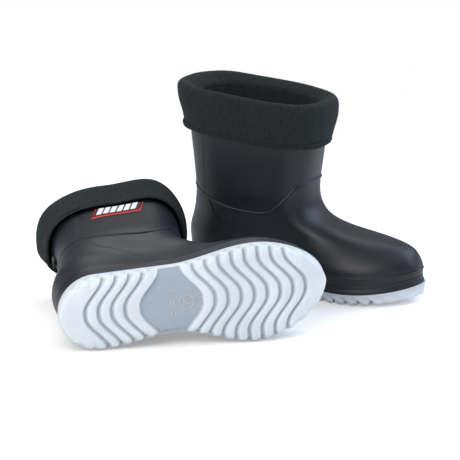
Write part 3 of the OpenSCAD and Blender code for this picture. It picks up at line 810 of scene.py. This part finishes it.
def knit(name, dark, light, fuzz):
    """Knitted fleece: ribs 2.4 mm apart by the piece's own map in mm, under a brushed fuzz."""
    material, out = blank(name)
    where = node(material, "ShaderNodeTexCoord")
    on_cloth = node(material, "ShaderNodeUVMap", uv_map="map")
    rib = node(
        material, "ShaderNodeTexWave", {"Vector": (on_cloth, 0)}, bands_direction="X",
        in_Scale=0.131, in_Distortion=3.5, in_Detail=3.0, in_Detail_Scale=0.6,
    )
    pile, clump = (
        node(
            material, "ShaderNodeTexNoise", {"Vector": (where, "Object")},
            in_Scale=scale, in_Detail=detail, in_Roughness=rough,
        )
        for scale, detail, rough in ((620.0, 6.0, 0.75), (190.0, 4.0, 0.7))
    )
    faint = node(material, "ShaderNodeMath", {0: (rib, 1)}, operation="MULTIPLY", in_1=0.28)
    tufts = node(material, "ShaderNodeMath", {0: (pile, 0), 1: (clump, 0)}, operation="ADD")
    mixed = node(material, "ShaderNodeMath", {0: (faint, 0), 1: (tufts, 0)}, operation="ADD")
    spread = node(material, "ShaderNodeMapRange", {"Value": (mixed, 0)}, in_1=0.8, in_2=1.5)
    base = blend_of(material, (spread, 0), dark, light)
    bump = node(material, "ShaderNodeBump", {"Height": (mixed, 0)}, in_Strength=0.8, in_Distance=0.0011)
    shader = node(
        material, "ShaderNodeBsdfPrincipled", {"Base Color": (base, 2), "Normal": (bump, 0)},
        in_Roughness=1.0, in_Sheen_Weight=0.12, in_Sheen_Roughness=0.5,
    )
    shader.inputs["Sheen Tint"].default_value = to_linear(fuzz)
    finish_with(material, out, surface=shader)
    return material


fleece = knit("charcoal knitted fleece", "#0c1112", "#20282a", "#465052")
# The hem's fleece is the same fleece a little darker: painted shade along the cuff's lower edge.
shaded_hem_fleece = knit("knitted fleece with painted shade", "#0b0f10", "#1d2527", "#465052")
sole_felt = felt("grey brushed felt", "#26292b", "#43474a")


def oval(a, length, width, z):
    """A squared oval of power 2.6 round the rim's middle, tilted with the rim."""
    c, s = -np.cos(a), np.sin(a)
    x = SHAFT_MID + length / 2 * np.sign(c) * np.abs(c) ** (2 / 2.6)
    y = width / 2 * np.sign(s) * np.abs(s) ** (2 / 2.6)
    return np.stack([x, y, z + tilt(x, z)], -1)


def drape(a, z, seed):
    """Slow swells of cloth: three sine waves round the boot with their own steps, up to 1."""
    rng = np.random.default_rng(seed)
    waves = zip((3, 5, 8), rng.uniform(0, 6, 3), (0.05, 0.08, -0.1), (0.5, 0.3, 0.2))
    return sum(np.sin(k * a + p + z * q) * w for k, p, q, w in waves)


def closed_faces(rows):
    """Quads of a grid that closes both round its columns and from its last row to its first."""
    m, n = rows.shape[:2]
    r, c = np.meshgrid(np.arange(m), np.arange(n), indexing="ij")
    k, b = (c + 1) % n, (r + 1) % m
    return np.stack([r * n + c, b * n + c, b * n + k, r * n + k], -1).reshape(-1, 4)


def wall_between(outside, inside):
    """A closed tube wall from a grid of outside rows going up and one of inside rows going up."""
    rows = np.vstack([outside, inside[::-1]])
    return rows, closed_faces(rows)


def cloth_map(rows):
    """The map in mm: the way round along each row, and the way up the rows."""
    around = np.linalg.norm(np.diff(rows, axis=1, append=rows[:, :1]), axis=2)
    u = np.cumsum(around, 1) - around
    v = np.concatenate([[0], np.cumsum(np.linalg.norm(np.diff(rows, axis=0), axis=2).mean(1))])
    mean = u.mean(0, keepdims=True) + 0 * u
    return np.stack([mean, np.broadcast_to(v[:, None], u.shape)], -1)


def cuff_profile():
    """The cuff's outside from the hem up, over the fold and down to the leg, as length, width and
    level, smoothed."""
    z = np.linspace(CUFF_LOW + 5.1, CUFF_Z + 2, 5)
    taper = 10 * (1 - ramp(z, CUFF_LOW, CUFF_Z + 2))
    hang = np.column_stack([167.5 - 1.3 * taper, 119.5 - taper, z])
    fold = [
        (167, 118.5, CUFF_Z + 7.5), (162.5, 114.5, CUFF_Z + 11), (156, 109.5, CUFF_Z + 12),
        (149, 103, CUFF_Z + 10.8), (141, 95, CUFF_Z + 7.6), (133, 88.6, CUFF_Z + 3.6), (129, 87, CUFF_Z),
    ]
    return smooth_line(np.vstack([hang, fold]), 9)


CLOTH_ROUND = 360
cloth_angle = np.arange(CLOTH_ROUND) / CLOTH_ROUND * 2 * np.pi


def cuff_mesh(seed):
    """The folded cuff: its outside over the fold, joined to the face that lies against the boot."""
    line = cuff_profile()
    a = cloth_angle[None, :]
    rows = oval(a, line[:, 0:1], line[:, 1:2], line[:, 2:3])
    n = outward(rows)
    swell = drape(a, line[:, 2:3], seed) * 0.9
    rib = 0.05 * np.cos(a * 175)
    rows = rows + n * (swell + rib)[..., None]
    inside = np.array([(148.5, 106.5, CUFF_LOW + 5.1), (148.5, 106.5, CUFF_Z - 1), (141, 99, CUFF_Z)])
    under = oval(a, inside[:, 0:1], inside[:, 1:2], inside[:, 2:3])
    return wall_between(rows, under)


def hem_mesh(seed):
    """The turned-up hem: from the cuff's lower edge down round a soft fold and up inside, with a
    row of stitches sunk in its outer face."""
    a = cloth_angle[None, :]
    line = smooth_line([
        (155.2, 110.3, CUFF_LOW + 5.0), (155.3, 110.4, CUFF_LOW + 3.2),
        (154.6, 110.0, CUFF_LOW + 1.0), (152.6, 108.8, CUFF_LOW),
        (149.2, 107.2, CUFF_LOW + 0.6), (148.6, 106.6, CUFF_LOW + 2.0), (148.5, 106.5, CUFF_LOW + 5.0),
    ], 5)
    rows = oval(a, line[:, 0:1], line[:, 1:2], line[:, 2:3])
    n = outward(rows)
    swell = drape(a, line[:, 2:3], seed) * 0.9
    on_outside = (np.arange(len(line)) < len(line) / 2)[:, None]
    sunk_row = np.exp(-((line[:, 2:3] - CUFF_LOW - 3.2) / 0.5) ** 2) * on_outside
    stitch = -0.45 * sunk_row * (0.6 + 0.4 * np.cos(a * 120))
    rows = rows + n * (swell + stitch)[..., None]
    return rows, closed_faces(rows)[:, ::-1]


def leg_mesh():
    """The leg's tube, 5 mm thick, from the ankle up to the fold."""
    a, z = np.meshgrid(cloth_angle, np.linspace(ANKLE_H - 5.5, SHAFT_H, 60))
    out, inn = skin(a, z, WALL + GAP), skin(a, z, LEG_IN)
    out = np.vstack([out, oval(cloth_angle[None], 139.0, 97.0, CUFF_Z)])
    inn = np.vstack([inn, oval(cloth_angle[None], 129.0, 87.0, CUFF_Z)])
    inn = inn + outward(inn) * (0.22 * np.cos(a[:1] * 120))[..., None]
    return wall_between(out, inn)


def foot_mesh():
    """The sock's foot: a wall of slices from the sole up over the instep to the ankle."""
    keep = upper_levels[(upper_levels > LINER_Z + FLEECE_T + 1.2) & (upper_levels < ANKLE_H - 6)][::2]
    a, z = np.meshgrid(cloth_angle[::2], keep)
    return wall_between(skin(a, z, WALL + 2 * GAP), skin(a, z, LEG_IN))


for side, seed in (("left", 3), ("right", 8)):
    parts = (
        ("leg", leg_mesh(), fleece, "fleece"), ("foot", foot_mesh(), fleece, "fleece"),
        ("cuff", cuff_mesh(seed), fleece, "fleece"), ("hem", hem_mesh(seed), shaded_hem_fleece, "fleece_hem"),
    )
    for part, (rows, faces), material, slot in parts:
        cloth = piece(f"{side}_fleece_{part}", side, rows, faces, material, uv=cloth_map(rows))
        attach(cloth, f"{side}_liner")
        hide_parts(f"{side}_liner_{part}")
    sock_sole = floor_pad(LINER_Z, LINER_Z + FLEECE_T - 0.1, WALL + GAP + 1)
    pad = piece(f"{side}_fleece_sole", side, *sock_sole, sole_felt)
    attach(pad, f"{side}_liner")
    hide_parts(f"{side}_liner_sole")

# ---------------------------------------------------------------- Floor and light
# A pale floor that the camera sees as plain white but for the boots' soft shadow, lit by three
# wide lamps, from the front, the side and above, and by an even pale sky.
FLOOR_HALF, FLOOR_LEVEL = 6, -0.0004
floor_mesh = bpy.data.meshes.new("floor")
corners = [(x * FLOOR_HALF, y * FLOOR_HALF, FLOOR_LEVEL) for x, y in ((-1, -1), (1, -1), (1, 1), (-1, 1))]
floor_mesh.from_pydata(corners, [], [(0, 1, 2, 3)])
floor = bpy.data.objects.new("floor", floor_mesh)
bpy.context.scene.collection.objects.link(floor)
paper, out = blank("white studio floor")
lit = node(paper, "ShaderNodeBsdfDiffuse", in_Color=(0.9, 0.9, 0.9, 1))
glow = node(paper, "ShaderNodeEmission", in_Color=(1, 1, 1, 1), in_Strength=0.32)
sum_of = node(paper, "ShaderNodeAddShader", {0: (lit, 0), 1: (glow, 0)})
white = node(paper, "ShaderNodeEmission", in_Color=(1, 1, 1, 1), in_Strength=1.0)
place_on = node(paper, "ShaderNodeTexCoord")
far = node(paper, "ShaderNodeVectorMath", {0: (place_on, "Object")}, operation="LENGTH")
away = node(paper, "ShaderNodeMapRange", {"Value": (far, "Value")}, in_1=0.35, in_2=0.7)
near_far = node(paper, "ShaderNodeMixShader", {0: (away, 0), 1: (sum_of, 0), 2: (white, 0)})


def seen_straight(material):
    """1 where a ray comes from the camera, or through something clear, and 0 elsewhere."""
    ray = node(material, "ShaderNodeLightPath")
    links = {0: (ray, "Is Camera Ray"), 1: (ray, "Is Transmission Ray")}
    return node(material, "ShaderNodeMath", links, operation="MAXIMUM")


eye = seen_straight(paper)
shade = node(paper, "ShaderNodeMixShader", {0: (eye, 0), 1: (lit, 0), 2: (near_far, 0)})
finish_with(paper, out, surface=shade)
floor_mesh.materials.append(paper)

world = bpy.data.worlds.new("studio")
world.use_nodes = True
world.node_tree.nodes.clear()
bpy.context.scene.world = world

sky = node(world, "ShaderNodeBackground", in_Color=(0.92, 0.96, 1, 1), in_Strength=0.36)
plain = node(world, "ShaderNodeBackground", in_Color=(1, 1, 1, 1), in_Strength=1.0)
both = node(world, "ShaderNodeMixShader", {0: (seen_straight(world), 0), 1: (sky, 0), 2: (plain, 0)})
node(world, "ShaderNodeOutputWorld", {"Surface": (both, 0)})


def lamp(name, where, aim, size, watts, hue):
    """A wide area lamp at a place, facing a point."""
    light = bpy.data.lights.new(name, "AREA")
    light.shape = "RECTANGLE"
    light.size, light.size_y = size
    light.energy = watts
    light.color = hue
    made = bpy.data.objects.new(name, light)
    made.location = where
    made.rotation_euler = (Vector(aim) - Vector(where)).to_track_quat("-Z", "Y").to_euler()
    bpy.context.scene.collection.objects.link(made)


lamp("key", (-0.7, -1.5, 1.1), (0, -0.1, 0.05), (1.4, 1.0), 22, (1, 0.98, 0.96))
lamp("side", (1.6, 0.3, 1.5), (0.1, 0, 0.05), (1.8, 1.8), 34, (0.66, 0.79, 1))
lamp("top", (-0.2, 0.6, 1.5), (0, 0, 0.05), (1.4, 0.6), 9, (1, 1, 1))

view = bpy.context.scene.view_settings
view.view_transform = "Standard"
